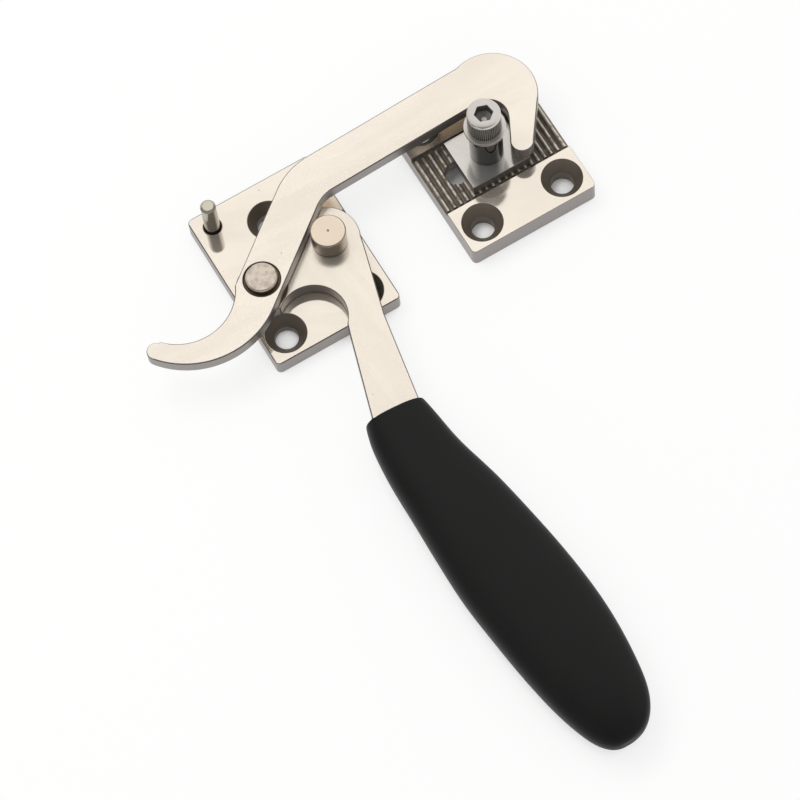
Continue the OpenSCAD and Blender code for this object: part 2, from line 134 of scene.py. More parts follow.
class HandleLockFinish(bpy.types.PropertyGroup):
    """Colours and polish of the pieces"""

    steel: FloatVectorProperty(
        name="Polished steel", description="Colour of the polished plates and bars",
        subtype="COLOR", default=(0.94, 0.872, 0.785), min=0, max=1)
    # Painted shade: the walls of plates and bars are coloured darker than their tops
    wall: FloatVectorProperty(
        name="Steel walls", description="Colour of the cut walls of plates and bars",
        subtype="COLOR", default=(0.30, 0.275, 0.26), min=0, max=1)
    # Painted shade: a dark outline along the ground edges of plates and bars
    edge: FloatVectorProperty(
        name="Broken edges", description="Colour of the ground edges of plates and bars",
        subtype="COLOR", default=(0.19, 0.175, 0.165), min=0, max=1)
    machined: FloatVectorProperty(
        name="Machined steel", description="Colour of countersinks and serrations",
        subtype="COLOR", default=(0.18, 0.155, 0.125), min=0, max=1)
    # Painted highlight on the serration tips
    tip_highlight: FloatVectorProperty(
        name="Serration tips", description="Colour of the worn tips of the serrations",
        subtype="COLOR", default=(0.72, 0.67, 0.6), min=0, max=1)
    block: FloatVectorProperty(
        name="Striker block", description="Colour of the block under the striker",
        subtype="COLOR", default=(0.7, 0.68, 0.655), min=0, max=1)
    pivot: FloatVectorProperty(
        name="Pivot pin", description="Colour of the pivot pin",
        subtype="COLOR", default=(0.84, 0.72, 0.59), min=0, max=1)
    stop: FloatVectorProperty(
        name="Stop pin", description="Colour of the stop pin",
        subtype="COLOR", default=(0.66, 0.61, 0.52), min=0, max=1)
    crank: FloatVectorProperty(
        name="Crank pin", description="Colour of the crank pin",
        subtype="COLOR", default=(0.74, 0.655, 0.565), min=0, max=1)
    sleeve: FloatVectorProperty(
        name="Sleeve", description="Colour of the striker's sleeve and washer",
        subtype="COLOR", default=(0.42, 0.415, 0.41), min=0, max=1)
    screw: FloatVectorProperty(
        name="Screw", description="Colour of the striker's screw",
        subtype="COLOR", default=(0.68, 0.65, 0.62), min=0, max=1)
    # Painted shade: the bush's bronze is made dark for the shade it sits in, deep in the bore
    bronze: FloatVectorProperty(
        name="Bush", description="Colour of the bush round the crank pin",
        subtype="COLOR", default=(0.12, 0.09, 0.065), min=0, max=1)
    zinc: FloatVectorProperty(
        name="Hidden steel", description="Colour of the collar and the slot nut",
        subtype="COLOR", default=(0.4, 0.4, 0.41), min=0, max=1)
    grip: FloatVectorProperty(
        name="Grip", description="Colour of the moulded grip",
        subtype="COLOR", default=(0.0068, 0.0068, 0.0068), min=0, max=1)
    polish: FloatProperty(
        name="Plate polish", description="Roughness of the plates' polished faces",
        default=0.07, min=0.02, max=0.6)
    satin: FloatProperty(
        name="Bar polish", description="Roughness of the lever's and the hook arm's faces",
        default=0.19, min=0.02, max=0.6)


class HandleLockStage(bpy.types.PropertyGroup):
    """Floor, light and camera"""

    floor: FloatVectorProperty(
        name="Floor", description="Colour of the table top",
        subtype="COLOR", default=(0.9, 0.9, 0.9), min=0, max=1)
    fill: FloatProperty(
        name="Fill light", description="Strength of the even light from all sides",
        default=0.75, min=0, max=3)
    softbox: FloatProperty(
        name="Softbox", description="Power of the large lamp above the lock, in watts",
        default=9.0, min=0, max=100)
    azimuth: FloatProperty(
        name="Camera azimuth", description="Turn of the camera round the lock",
        subtype="ANGLE", default=math.radians(22.423))
    tilt: FloatProperty(
        name="Camera tilt", description="Tilt of the camera from straight above",
        subtype="ANGLE", default=math.radians(23.002))
    roll: FloatProperty(
        name="Camera roll", description="Turn of the picture",
        subtype="ANGLE", default=math.radians(8.64))
    distance: FloatProperty(
        name="Camera distance", description="Distance of the camera from the lock",
        default=1506.82 * MM, min=0.3, max=5, unit="LENGTH")
    lens: FloatProperty(
        name="Lens", description="Focal length in millimetres on a 36 mm sensor",
        default=178.935, min=20, max=400)
    pan: FloatVectorProperty(
        name="Camera pan", description="Sideways and upward place of the lock in the view",
        size=2, default=(-25.2243 * MM, 51.4154 * MM), precision=5)
    aim: FloatVectorProperty(
        name="Camera aim", description="Point that the camera turns round",
        size=3, default=(-0.77 * MM, -1.6 * MM, -2.0 * MM), precision=5)


# Mesh helpers


def shade_by_angle(bm, limit):
    """Smooth faces, with edges sharper than the limit kept crisp."""
    for face in bm.faces:
        face.smooth = True
    for edge in bm.edges:
        edge.smooth = len(edge.link_faces) == 2 and edge.calc_face_angle(0) < limit


def finished_object(name, bm, material, body, nodes):
    """Turns the mesh into a piece that rides on its body and stands for its nodes."""
    mesh = bpy.data.meshes.new(name)
    bm.to_mesh(mesh)
    bm.free()
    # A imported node's own normals no longer fit the merged copy
    if "custom_normal" in mesh.attributes:
        mesh.attributes.remove(mesh.attributes["custom_normal"])
    mesh.materials.append(material)
    obj = bpy.data.objects.new(name, mesh)
    bpy.context.scene.collection.objects.link(obj)
    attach(obj, body)
    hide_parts(*nodes)
    return obj


def break_edges(obj, width):
    """Ground edges with even shading on the flats beside them."""
    bevel = obj.modifiers.new("Edge break", "BEVEL")
    bevel.width = width
    bevel.segments = 2
    bevel.limit_method = "ANGLE"
    bevel.angle_limit = EDGE_ANGLE
    bevel.use_clamp_overlap = False
    bevel.harden_normals = True
    bevel.miter_outer = "MITER_ARC"
    even = obj.modifiers.new("Even shading", "WEIGHTED_NORMAL")
    even.keep_sharp = True
    even.weight = 60


def dress_node(node, name, material, body, width):
    """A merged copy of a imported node, with its flats whole and its edges broken."""
    bm = bmesh.new()
    bm.from_mesh(frame["nodes"][node].data)
    bmesh.ops.remove_doubles(bm, verts=bm.verts, dist=0.001 * MM)
    bmesh.ops.dissolve_limit(
        bm, angle_limit=math.radians(0.6), use_dissolve_boundaries=False,
        verts=bm.verts, edges=bm.edges)
    # Slivers left by the cuts would stop the bevel
    bmesh.ops.remove_doubles(bm, verts=bm.verts, dist=0.07 * MM)
    for face in bm.faces:
        face.material_index = 0
    shade_by_angle(bm, EDGE_ANGLE)
    break_edges(finished_object(name, bm, material, body, [node]), width)


def stack_rings(places, sides):
    """A closed skin drawn out ring by ring, each place a function of the angle round it."""
    bm = bmesh.new()
    turn = bm.verts.layers.float.new("turn")
    ring = bmesh.ops.create_circle(bm, cap_ends=False, segments=sides, radius=1.0)["verts"]
    for vertex in ring:
        vertex[turn] = math.atan2(vertex.co.y, vertex.co.x)
        vertex.co = places[0](vertex[turn])
    edges = list(bm.edges)
    bmesh.ops.contextual_create(bm, geom=edges)
    for place in places[1:]:
        grown = bmesh.ops.extrude_edge_only(bm, edges=edges)["geom"]
        for vertex in grown:
            if isinstance(vertex, bmesh.types.BMVert):
                vertex.co = place(vertex[turn])
        edges = [e for e in grown if isinstance(e, bmesh.types.BMEdge)
                 and len(e.link_faces) == 1]
    bmesh.ops.contextual_create(bm, geom=edges)
    bm.verts.layers.float.remove(turn)
    bmesh.ops.recalc_face_normals(bm, faces=bm.faces)
    return bm


# Material helpers


def node_of(tree, kind, label="", **values):
    """A shader node with its settings and socket values."""
    node = tree.nodes.new(kind)
    node.label = label
    for key, value in values.items():
        if key in node.inputs:
            node.inputs[key].default_value = value
        else:
            setattr(node, key, value)
    return node


def arithmetic(tree, operation, a, b=None):
    """A Math node fed by sockets or numbers."""
    node = tree.nodes.new("ShaderNodeMath")
    node.operation = operation
    for socket, value in zip(node.inputs, (a, b)):
        if isinstance(value, bpy.types.NodeSocket):
            tree.links.new(value, socket)
        elif value is not None:
            socket.default_value = value
    return node.outputs[0]


def product(tree, a, b):
    """One value times another."""
    return arithmetic(tree, "MULTIPLY", a, b)


def total(tree, a, b):
    """One value and another together."""
    return arithmetic(tree, "ADD", a, b)


def larger(tree, a, b):
    """The larger of two values."""
    return arithmetic(tree, "MAXIMUM", a, b)


def less(tree, a, b):
    """One value less another."""
    return arithmetic(tree, "SUBTRACT", a, b)


def split(tree, vector):
    """The X, Y and Z of a vector."""
    node = tree.nodes.new("ShaderNodeSeparateXYZ")
    tree.links.new(vector, node.inputs[0])
    return node.outputs


def scaled(colour, *factors):
    """A colour made lighter or darker, by one factor or by one for each channel."""
    if len(factors) == 1:
        factors *= 3
    return [min(1.0, c * k) for c, k in zip(colour, factors)]


def noise(tree, vector, label, **values):
    """A noise texture's value at the coordinates."""
    node = node_of(tree, "ShaderNodeTexNoise", label, **values)
    tree.links.new(vector, node.inputs["Vector"])
    return node.outputs["Fac"]


def ramp(tree, value, low, high, to_low=0.0, to_high=1.0):
    """A smooth step from one level to another."""
    node = tree.nodes.new("ShaderNodeMapRange")
    node.interpolation_type = "SMOOTHSTEP"
    tree.links.new(value, node.inputs["Value"])
    node.inputs["From Min"].default_value = low
    node.inputs["From Max"].default_value = high
    node.inputs["To Min"].default_value = to_low
    node.inputs["To Max"].default_value = to_high
    return node.outputs["Result"]


def mix_colour(tree, factor, a, b, blend="MIX"):
    """A colour Mix node fed by sockets or colours."""
    node = tree.nodes.new("ShaderNodeMix")
    node.data_type = "RGBA"
    node.blend_type = blend
    for socket, value in ((node.inputs[0], factor), (node.inputs[6], a), (node.inputs[7], b)):
        if isinstance(value, bpy.types.NodeSocket):
            tree.links.new(value, socket)
        elif isinstance(value, (int, float)):
            socket.default_value = value
        else:
            socket.default_value = (*value[:3], 1.0)
    return node.outputs[2]


def new_group(name, inputs, outputs):
    """A shader node group with named inputs and outputs."""
    tree = bpy.data.node_groups.new(name, "ShaderNodeTree")
    for label, kind, default in inputs:
        socket = tree.interface.new_socket(label, in_out="INPUT", socket_type=kind)
        if default is not None:
            socket.default_value = default
    for label, kind in outputs:
        tree.interface.new_socket(label, in_out="OUTPUT", socket_type=kind)
    return tree, tree.nodes.new("NodeGroupInput"), tree.nodes.new("NodeGroupOutput")


def polish_group():
    """Cloudy haze, fine scratches, tiny pits, waves and streaks of a polished face."""
    labels = ("Haze", "Scratch", "Pit", "Wave", "Streak")
    tree, source, sink = new_group(
        "Polish marks",
        [("Vector", "NodeSocketVector", None), ("Turn", "NodeSocketFloat", 0.0)],
        [(label, "NodeSocketFloat") for label in labels])
    vector = source.outputs["Vector"]
    turned = node_of(tree, "ShaderNodeVectorRotate", "turn", rotation_type="Z_AXIS")
    tree.links.new(vector, turned.inputs["Vector"])
    tree.links.new(source.outputs["Turn"], turned.inputs["Angle"])
    fine = node_of(tree, "ShaderNodeMapping", "fine lines", Scale=(30.0, 1600.0, 400.0))
    tree.links.new(turned.outputs["Vector"], fine.inputs["Vector"])
    scratch = noise(tree, fine.outputs["Vector"], "scratches",
                    Scale=1.0, Detail=4.0, Roughness=0.7)
    long = node_of(tree, "ShaderNodeMapping", "long lines", Scale=(14.0, 85.0, 40.0))
    tree.links.new(turned.outputs["Vector"], long.inputs["Vector"])
    streak = noise(tree, long.outputs["Vector"], "polishing streaks",
                   Scale=1.0, Detail=3.0, Roughness=0.55)
    cells = node_of(tree, "ShaderNodeTexVoronoi", "pits", Scale=190.0, Randomness=1.0)
    tree.links.new(vector, cells.inputs["Vector"])
    pit = ramp(tree, cells.outputs["Distance"], 0.035, 0.075, 1.0, 0.0)
    rare = ramp(tree, noise(tree, vector, "rare pits", Scale=160.0, Detail=1.0), 0.56, 0.62)
    values = (
        noise(tree, vector, "haze", Scale=48.0, Detail=5.0, Roughness=0.62),
        scratch,
        product(tree, pit, rare),
        noise(tree, vector, "hand polishing", Scale=55.0, Detail=1.0),
        ramp(tree, streak, 0.36, 0.64))
    for label, value in zip(labels, values):
        tree.links.new(value, sink.inputs[label])
    return tree


def turned_group():
    """Distance from a hole's or pin's axis: a mask inside a radius, and tool rings."""
    tree, source, sink = new_group(
        "Turned rings",
        [("Vector", "NodeSocketVector", None), ("Centre", "NodeSocketVector", None),
         ("Radius", "NodeSocketFloat", 0.01)],
        [("Mask", "NodeSocketFloat"), ("Rings", "NodeSocketFloat"),
         ("Distance", "NodeSocketFloat")])
    away = node_of(tree, "ShaderNodeVectorMath", "from axis", operation="SUBTRACT")
    tree.links.new(source.outputs["Vector"], away.inputs[0])
    tree.links.new(source.outputs["Centre"], away.inputs[1])
    level = node_of(tree, "ShaderNodeVectorMath", "level", operation="MULTIPLY")
    level.inputs[1].default_value = (1.0, 1.0, 0.0)
    tree.links.new(away.outputs[0], level.inputs[0])
    length = node_of(tree, "ShaderNodeVectorMath", "radius", operation="LENGTH")
    tree.links.new(level.outputs[0], length.inputs[0])
    distance = length.outputs["Value"]
    inside = less(tree, source.outputs["Radius"], distance)
    wave = arithmetic(tree, "SINE", product(tree, distance, RING_WAVE))
    uneven = noise(tree, source.outputs["Vector"], "uneven", Scale=900.0, Detail=2.0)
    tree.links.new(ramp(tree, inside, -0.04 * MM, 0.04 * MM), sink.inputs["Mask"])
    tree.links.new(product(tree, wave, uneven), sink.inputs["Rings"])
    tree.links.new(distance, sink.inputs["Distance"])
    return tree


def shader(name, metallic=1.0, roughness=0.2):
    """A material with one Principled surface, its coordinates and its tree."""
    material = bpy.data.materials.new(name)
    material.use_nodes = True
    tree = material.node_tree
    tree.nodes.clear()
    out = tree.nodes.new("ShaderNodeOutputMaterial")
    surface = tree.nodes.new("ShaderNodeBsdfPrincipled")
    surface.inputs["Metallic"].default_value = metallic
    surface.inputs["Roughness"].default_value = roughness
    tree.links.new(surface.outputs[0], out.inputs["Surface"])
    place = tree.nodes.new("ShaderNodeTexCoord")
    return material, tree, surface, place


def use_group(tree, group, vector, **values):
    """A group placed in a material, fed with coordinates and its own values."""
    node = tree.nodes.new("ShaderNodeGroup")
    node.node_tree = group
    tree.links.new(vector, node.inputs["Vector"])
    for key, value in values.items():
        node.inputs[key].default_value = value
    return node


def feed_surface(tree, surface, colour, rough, height, distance=RELIEF, strength=1.0):
    """Gives the surface its colour, its roughness and the relief that tilts its normal."""
    relief = node_of(tree, "ShaderNodeBump", "relief", Strength=strength, Distance=distance)
    tree.links.new(height, relief.inputs["Height"])
    tree.links.new(relief.outputs["Normal"], surface.inputs["Normal"])
    tree.links.new(colour, surface.inputs["Base Color"])
    tree.links.new(rough, surface.inputs["Roughness"])


def hazy(tree, haze, roughness):
    """Roughness that rises and falls a little with the haze."""
    return total(tree, roughness * 0.7, product(tree, haze, roughness * 0.6))


def walls(tree, place):
    """How level the surface is, and a mask of its walls and their broken edges."""
    level = arithmetic(tree, "ABSOLUTE", split(tree, place.outputs["Normal"])["Z"])
    return level, ramp(tree, level, 0.86, 0.985, 1.0, 0.0)


def sink_marks(tree, groups, vector, holes):
    """A mask over the countersinks, and the tool rings in them."""
    cut = rings = None
    for x, y in holes:
        ring = use_group(tree, groups["turned"], vector, Centre=(x, y, 0.0), Radius=SINK_RADIUS)
        mask = ring.outputs["Mask"]
        inner = product(tree, ring.outputs["Rings"], mask)
        cut = mask if cut is None else larger(tree, cut, mask)
        rings = inner if rings is None else total(tree, rings, inner)
    return cut, rings


def channel_marks(tree, vector, middle_y, tips):
    """A mask over the serrations, their uneven wear, and a mask of their tips where a highlight is
    painted.
    """
    at = split(tree, vector)
    across = arithmetic(tree, "ABSOLUTE", less(tree, at["Y"], middle_y))
    band = ramp(tree, across, CHANNEL_HALF - 0.02 * MM, CHANNEL_HALF + 0.02 * MM, 1.0, 0.0)
    below = ramp(tree, at["Z"], tips + 0.3 * MM, tips + 0.5 * MM, 1.0, 0.0)
    above = ramp(tree, at["Z"], tips - 1.9 * MM, tips - 1.6 * MM)
    milled = product(tree, product(tree, band, below), above)
    wear = noise(tree, vector, "uneven wear", Scale=420.0, Detail=4.0, Roughness=0.62)
    # Painted highlight on the upper part of each serration, broken up by the wear noise
    tip_highlight = product(tree, ramp(tree, at["Z"], tips - 0.6 * MM, tips - 0.05 * MM),
                    ramp(tree, wear, 0.3, 0.56))
    return milled, wear, tip_highlight


def steel_plate(name, finish, groups, turn, polish, steel=None, lines=0.3, holes=(),
                channel=None):
    """Polished steel with painted shade on its walls and edges, countersinks and, on the keeper,
    serrations.

    Steel is its colour where it isn't the plates' own. Turn and lines are the direction and
    depth of the scratches, holes the places of the countersinks, and channel the middle of
    the serrations and the height of their tips, where a highlight is painted.
    """
    material, tree, surface, place = shader(name, metallic=METAL)
    vector = place.outputs["Object"]
    marks = use_group(tree, groups["polish"], vector, Turn=turn).outputs
    # Painted shade: walls are coloured darker than the tops, and the broken edges darker still as a
    # dark outline
    level, wall = walls(tree, place)
    edge = product(tree, wall, ramp(tree, level, 0.1, 0.4))
    if steel is None:
        steel = finish.steel
    colour = mix_colour(tree, marks["Haze"], scaled(steel, 0.92, 0.93, 0.95),
                        scaled(steel, 1.06, 1.045, 1.01))
    colour = mix_colour(tree, marks["Streak"], colour, (0.95, 0.943, 0.93), "MULTIPLY")
    colour = mix_colour(tree, product(tree, marks["Pit"], 0.5), colour, finish.machined)
    # Painted shade on the walls and the broken edges
    colour = mix_colour(tree, wall, colour, finish.wall)
    colour = mix_colour(tree, edge, colour, finish.edge)
    rough = total(tree, hazy(tree, marks["Haze"], polish),
                  product(tree, marks["Streak"], polish * 0.15))
    rough = larger(tree, rough, product(tree, wall, 0.34))
    height = less(tree, product(tree, marks["Scratch"], lines), marks["Pit"])
    height = total(tree, height, product(tree, marks["Wave"], 30.0))
    if holes:
        cut, rings = sink_marks(tree, groups, vector, holes)
        dull = cut
        stain = mix_colour(tree, marks["Haze"], scaled(finish.machined, 0.75),
                           scaled(finish.machined, 1.25))
        if channel:
            milled, wear, tip_highlight = channel_marks(tree, vector, *channel)
            cut = larger(tree, cut, milled)
            dull = less(tree, cut, product(tree, tip_highlight, 0.4))
            patch = product(tree, ramp(tree, wear, 0.42, 0.7), milled)
            stain = mix_colour(tree, patch, stain, scaled(finish.machined, 1.5))
            # Painted highlight: the serration tips take a light colour
            stain = mix_colour(tree, product(tree, tip_highlight, milled), stain, finish.tip_highlight)
        colour = mix_colour(tree, cut, colour, stain)
        rough = larger(tree, rough, product(tree, dull, 0.5))
        height = total(tree, height, rings)
        tree.links.new(less(tree, METAL, product(tree, cut, 0.25)), surface.inputs["Metallic"])
    feed_surface(tree, surface, colour, rough, height)
    return material


def screw_marks(tree, distance, z, head):
    """Masks over the knurl's grooves, the socket, its floor and the drill's dimple in it."""
    valley = ramp(tree, distance, HEAD_RADIUS - 0.33 * MM, HEAD_RADIUS - 0.06 * MM, 1.0, 0.0)
    outer = ramp(tree, distance, HEAD_RADIUS - 0.9 * MM, HEAD_RADIUS - 0.5 * MM)
    below = ramp(tree, z, head - 1.8 * MM, head - 1.2 * MM, 1.0, 0.0)
    groove_shade = product(tree, product(tree, valley, outer), below)
    inner = ramp(tree, distance, SOCKET_REACH - 0.02 * MM, SOCKET_REACH + 0.02 * MM, 1.0, 0.0)
    sunk = ramp(tree, z, head - 0.3 * MM, head - 0.1 * MM, 1.0, 0.0)
    ground = head - SOCKET_DEPTH
    bottom = ramp(tree, z, ground - 0.05 * MM, ground + 0.05 * MM, 1.0, 0.0)
    dimple = ramp(tree, distance, 0.8 * MM, 1.2 * MM, 1.0, 0.0)
    return groove_shade, product(tree, inner, sunk), bottom, dimple


def steel_round(name, groups, colour, centre, roughness, dents=0.0, rings=0.6, side=1.0,
                foot=None, head=None):
    """Turned steel with tool rings round its centre.

    Dents is the depth of the hammer blows on a riveted end, rings that of the tool rings, and
    side the shade painted on its walls. Foot is the height of what it stands on, just above
    which a contact shadow is painted, and head the height of a screw's head, with its
    knurling and its dull socket, where shade is painted in the grooves and the socket.
    """
    material, tree, surface, place = shader(name)
    vector = place.outputs["Object"]
    marks = use_group(tree, groups["polish"], vector).outputs
    turned = use_group(tree, groups["turned"], vector, Centre=centre).outputs
    tint = mix_colour(tree, marks["Haze"], scaled(colour, 0.85), scaled(colour, 1.12))
    rough = hazy(tree, marks["Haze"], roughness)
    height = product(tree, turned["Rings"], rings)
    if dents:
        blows = noise(tree, vector, "hammer dents", Scale=420.0, Detail=4.0, Roughness=0.62)
        height = total(tree, height, product(tree, blows, dents))
        tint = mix_colour(tree, ramp(tree, blows, 0.35, 0.6), scaled(colour, 0.72), tint)
    if head is not None:
        groove_shade, dull, bottom, dimple = screw_marks(
            tree, turned["Distance"], split(tree, vector)["Z"], head)
        # Painted shade in the knurl's grooves
        tint = mix_colour(tree, groove_shade, tint, scaled(colour, 0.16))
        # Painted shade in the socket, darkest on its walls and lighter on its floor, while the
        # drill's dimple keeps the screw's own colour
        ground = mix_colour(tree, dimple, scaled(colour, 0.3), colour)
        socket_shade = mix_colour(tree, bottom, scaled(colour, 0.17), ground)
        tint = mix_colour(tree, dull, tint, socket_shade)
        rough = larger(tree, rough, product(tree, dull, 0.45))
        tree.links.new(less(tree, 1.0, product(tree, dull, 0.7)), surface.inputs["Metallic"])
    # Painted shade: the walls are darkened by the side factor
    tint = mix_colour(tree, walls(tree, place)[1], tint, (side, side, side), "MULTIPLY")
    # Painted contact shadow: the steel is darkened just above its foot
    if foot is not None:
        foot_shadow = ramp(tree, split(tree, vector)["Z"], foot + 0.6 * MM, foot + 1.0 * MM, 1.0, 0.0)
        tint = mix_colour(tree, foot_shadow, tint, scaled(colour, 0.16))
    feed_surface(tree, surface, tint, rough, height)
    return material


def grip_plastic(name, finish):
    """Soft black moulding with a fine grain."""
    material, tree, surface, place = shader(name, 0.0, 0.5)
    vector = place.outputs["Object"]
    grain = noise(tree, vector, "moulded grain", Scale=3200.0, Detail=3.0, Roughness=0.6)
    sheen = noise(tree, vector, "handling sheen", Scale=45.0, Detail=4.0, Roughness=0.65)
    tint = mix_colour(tree, sheen, scaled(finish.grip, 0.8), scaled(finish.grip, 1.3))
    rough = total(tree, 0.4, product(tree, sheen, 0.16))
    surface.inputs["Specular IOR Level"].default_value = 0.2
    feed_surface(tree, surface, tint, rough, grain, 0.03 * MM, 0.5)
    return material


def mix_shaders(tree, factor, a, b):
    """A Mix Shader node fed by three sockets."""
    node = tree.nodes.new("ShaderNodeMixShader")
    for source, socket in zip((factor, a, b), node.inputs):
        tree.links.new(source, socket)
    return node.outputs[0]


def ready(name):
    """A material that the finishes operator has made."""
    material = bpy.data.materials.get(name)
    if material is None:
        raise RuntimeError(f"make the finishes first: {name} is missing")
    return material


# Operators


class HANDLELOCK_OT_finishes(bpy.types.Operator):
    """Make the steel, bronze and grip materials"""

    bl_idname = "handlelock.finishes"
    bl_label = "Finishes"

    def execute(self, context):
        finish = context.scene.handlelock_finish
        groups = {"polish": polish_group(), "turned": turned_group()}
        crank = middle("crank_pin")
        pivot = middle("pivot_pin")
        striker = middle("striker_bolt")
        base_holes = screw_holes("base_screws_lower")
        base_holes.append(tuple(record_mount("base_screw_upper")["pos_m"][:2]))
        steel_plate("Base plate steel", finish, groups, 0.5, finish.polish, holes=base_holes)
        steel_plate("Keeper plate steel", finish, groups, 0.2, finish.polish,
                    holes=screw_holes("keeper_screws"),
                    channel=(middle("keeper_plate").y, top("keeper_plate") - TIP_DEPTH))
        steel_plate("Lever steel", finish, groups, 1.45, finish.satin, lines=0.1)
        steel_plate("Hook arm steel", finish, groups, 0.03, finish.satin, lines=0.1)
        steel_plate("Striker block steel", finish, groups, 0.9, finish.polish * 2.0,
                    steel=finish.block)
        # Side paints shade on the walls of the pins and the sleeve, and foot a contact shadow above
        # what they stand on
        steel_round("Pivot pin steel", groups, finish.pivot, pivot, 0.12, side=0.52,
                    foot=top("handle_lever"))
        steel_round("Stop pin steel", groups, finish.stop, middle("stop_pin"), 0.14, rings=0.9,
                    side=0.66)
        steel_round("Crank pin steel", groups, finish.crank, crank, 0.26, dents=14.0, rings=0.1)
        steel_round("Sleeve steel", groups, finish.sleeve, striker, 0.06, rings=0.2, side=0.48,
                    foot=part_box("striker_sleeve")[0][2])
        steel_round("Screw steel", groups, finish.screw, striker, 0.28, rings=0.5,
                    head=top("striker_bolt"))
        # The bush's bronze is darkened as painted shade for the bore it sits in
        steel_round("Bush bronze", groups, finish.bronze, crank, 0.35)
        steel_round("Hidden steel", groups, finish.zinc, pivot, 0.4)
        grip_plastic("Grip moulding", finish)
        return {"FINISHED"}


class HANDLELOCK_OT_plates(bpy.types.Operator):
    """Finish the base plate and the keeper plate"""

    bl_idname = "handlelock.plates"
    bl_label = "Plates"

    def execute(self, context):
        sizes = context.scene.handlelock_sizes
        dress_node("base_plate", "finished_base_plate", ready("Base plate steel"),
                   "base", sizes.edge_break)
        dress_node("keeper_plate", "finished_keeper_plate", ready("Keeper plate steel"),
                   "base", sizes.fine_break)
        return {"FINISHED"}


class HANDLELOCK_OT_bars(bpy.types.Operator):
    """Finish the lever and the hook arm"""

    bl_idname = "handlelock.bars"
    bl_label = "Lever and hook arm"

    def execute(self, context):
        sizes = context.scene.handlelock_sizes
        dress_node("handle_lever", "finished_lever", ready("Lever steel"),
                   "handle", sizes.edge_break)
        dress_node("hook_arm", "finished_hook_arm", ready("Hook arm steel"),
                   "hook", sizes.edge_break)
        return {"FINISHED"}


class HANDLELOCK_OT_pins(bpy.types.Operator):
    """Finish the pins, the collar and the bush"""

    bl_idname = "handlelock.pins"
    bl_label = "Pins"

    def execute(self, context):
        width = context.scene.handlelock_sizes.fine_break
        dress_node("pivot_pin", "finished_pivot_pin", ready("Pivot pin steel"),
                   "base", width)
        dress_node("stop_pin", "finished_stop_pin", ready("Stop pin steel"),
                   "base", width)
        dress_node("crank_pin", "finished_crank_pin", ready("Crank pin steel"),
                   "handle", width)
        dress_node("pivot_spacer", "finished_pivot_spacer", ready("Hidden steel"),
                   "base", width)
        dress_node("crank_bush", "finished_crank_bush", ready("Bush bronze"),
                   "bush", width)
        return {"FINISHED"}


def grip_front(bm):
    """The grip's flat front, the face with the most corners of those turned that way."""
    return max(bm.faces, key=lambda face: len(face.verts) * (face.normal.y > 0.9))


class HANDLELOCK_OT_grip(bpy.types.Operator):
    """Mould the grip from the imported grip's sections"""

    bl_idname = "handlelock.grip"
    bl_label = "Grip"

    def execute(self, context):
        nose = context.scene.handlelock_sizes.grip_nose
        bm = bmesh.new()
        bm.from_mesh(frame["nodes"]["handle_grip"].data)
        bmesh.ops.remove_doubles(bm, verts=bm.verts, dist=0.001 * MM)
        # Each flat end becomes one face, then the triangles between them become quads
        for side, limit in ((1.0, 0.95), (-1.0, 0.985)):
            cap = [face for face in bm.faces if face.normal.y * side > limit]
            bmesh.ops.dissolve_faces(bm, faces=cap)
        bmesh.ops.join_triangles(
            bm, faces=bm.faces, cmp_seam=False, cmp_sharp=False, cmp_uvs=False,
            cmp_vcols=False, cmp_materials=False, angle_face_threshold=math.radians(40),
            angle_shape_threshold=math.radians(60))
        bmesh.ops.bevel(bm, geom=list(grip_front(bm).edges), offset=nose, segments=2,
                        profile=0.5, affect="EDGES", clamp_overlap=True, material=-1)
        bmesh.ops.inset_region(bm, faces=[grip_front(bm)], thickness=0.5 * MM, depth=0.0)
        for face in bm.faces:
            face.smooth = True
            face.material_index = 0
        obj = finished_object("moulded_grip", bm, ready("Grip moulding"),
                              "handle", ["handle_grip"])
        round_off = obj.modifiers.new("Round", "SUBSURF")
        round_off.levels = round_off.render_levels = 2
        return {"FINISHED"}


class HANDLELOCK_OT_striker(bpy.types.Operator):
    """Finish the striker's block, sleeve, washer and nut"""

    bl_idname = "handlelock.striker"
    bl_label = "Striker"

    def execute(self, context):
        width = context.scene.handlelock_sizes.fine_break
        dress_node("striker_block", "finished_striker_block", ready("Striker block steel"),
                   "base", width)
        dress_node("striker_sleeve", "finished_striker_sleeve", ready("Sleeve steel"),
                   "base", width)
        dress_node("striker_washer", "finished_striker_washer", ready("Screw steel"),
                   "base", width)
        dress_node("slot_nut", "finished_slot_nut", ready("Hidden steel"),
                   "base", width)
        return {"FINISHED"}


